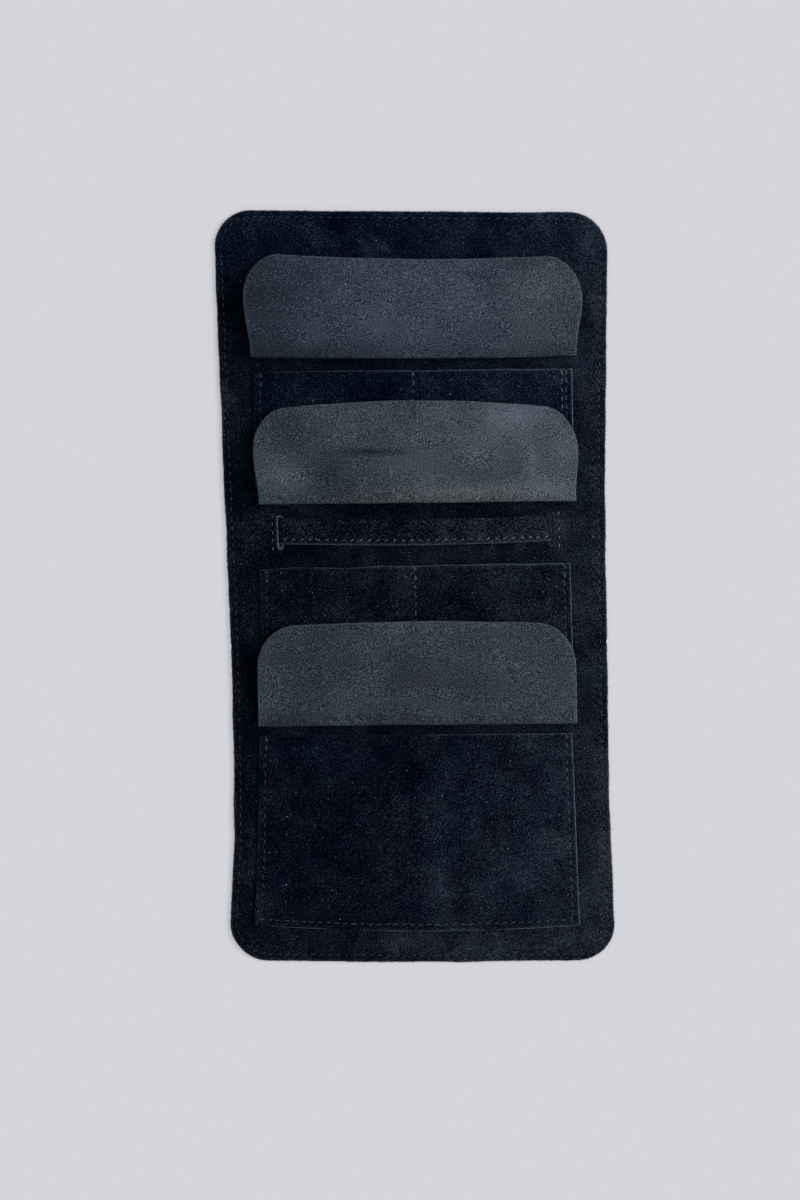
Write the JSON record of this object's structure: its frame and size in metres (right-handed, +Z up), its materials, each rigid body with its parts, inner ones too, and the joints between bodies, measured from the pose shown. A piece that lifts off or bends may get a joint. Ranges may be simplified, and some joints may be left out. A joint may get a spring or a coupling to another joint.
{
  "type": "jewelry wrap",
  "caption": "Folding suede jewelry wrap lying open: sections that fold over each other, stitched pockets under swinging flaps, and a raised holding strap sewn into slits.",
  "frame": {"origin": "on the back face, under the middle of the open wrap's length and width", "axes": "+Y towards the top edge, +Z up out of the lining, +X to the right as it lies open"},
  "size_m": [0.2016, 0.3862, 0.0132],
  "materials": {
    "outer_suede": "black suede, brushed nap",
    "lining_suede": "black suede, mottled nap",
    "pocket_suede": "black suede with raw cut edges",
    "strap_suede": "black suede, folded double and sewn",
    "flap_root_suede": "black suede",
    "flap_suede": "slate grey fine grained underside, black suede on the other face",
    "padding_felt": "thin felt interlining"
  },
  "bodies": {
    "middle": {"outer_middle": "outer_suede", "padding_middle": "padding_felt", "lining_middle": "lining_suede", "holding_strap": "strap_suede", "middle_pocket": "pocket_suede", "lower_flap_root": "flap_root_suede"},
    "top": {"outer_top": "outer_suede", "padding_top": "padding_felt", "lining_top": "lining_suede", "upper_pocket": "pocket_suede", "upper_flap_root": "flap_root_suede", "middle_flap_root": "flap_root_suede"},
    "bottom": {"outer_bottom": "outer_suede", "padding_bottom": "padding_felt", "lining_bottom": "lining_suede", "lower_pocket": "pocket_suede"},
    "upper_flap": {"upper_flap": "flap_suede"},
    "middle_flap": {"middle_flap": "flap_suede"},
    "lower_flap": {"lower_flap": "flap_suede"}
  },
  "joints": [
    {"name": "upper_fold", "type": "hinge", "parent": "middle", "child": "top", "pos_m": [0, 0.0399, 0.0173], "axis": [-1, 0, 0], "range_deg": [-179, 0]},
    {"name": "lower_fold", "type": "hinge", "parent": "middle", "child": "bottom", "pos_m": [0, -0.0742, 0.0102], "axis": [1, 0, 0], "range_deg": [-179, 0]},
    {"name": "upper_flap_hinge", "type": "hinge", "parent": "top", "child": "upper_flap", "pos_m": [0, 0.1185, 0.0118], "axis": [1, 0, 0], "range_deg": [0, 177]},
    {"name": "middle_flap_hinge", "type": "hinge", "parent": "top", "child": "middle_flap", "pos_m": [0, 0.0432, 0.0095], "axis": [1, 0, 0], "range_deg": [0, 177]},
    {"name": "lower_flap_hinge", "type": "hinge", "parent": "middle", "child": "lower_flap", "pos_m": [0, -0.0713, 0.0095], "axis": [1, 0, 0], "range_deg": [0, 177]}
  ]
}
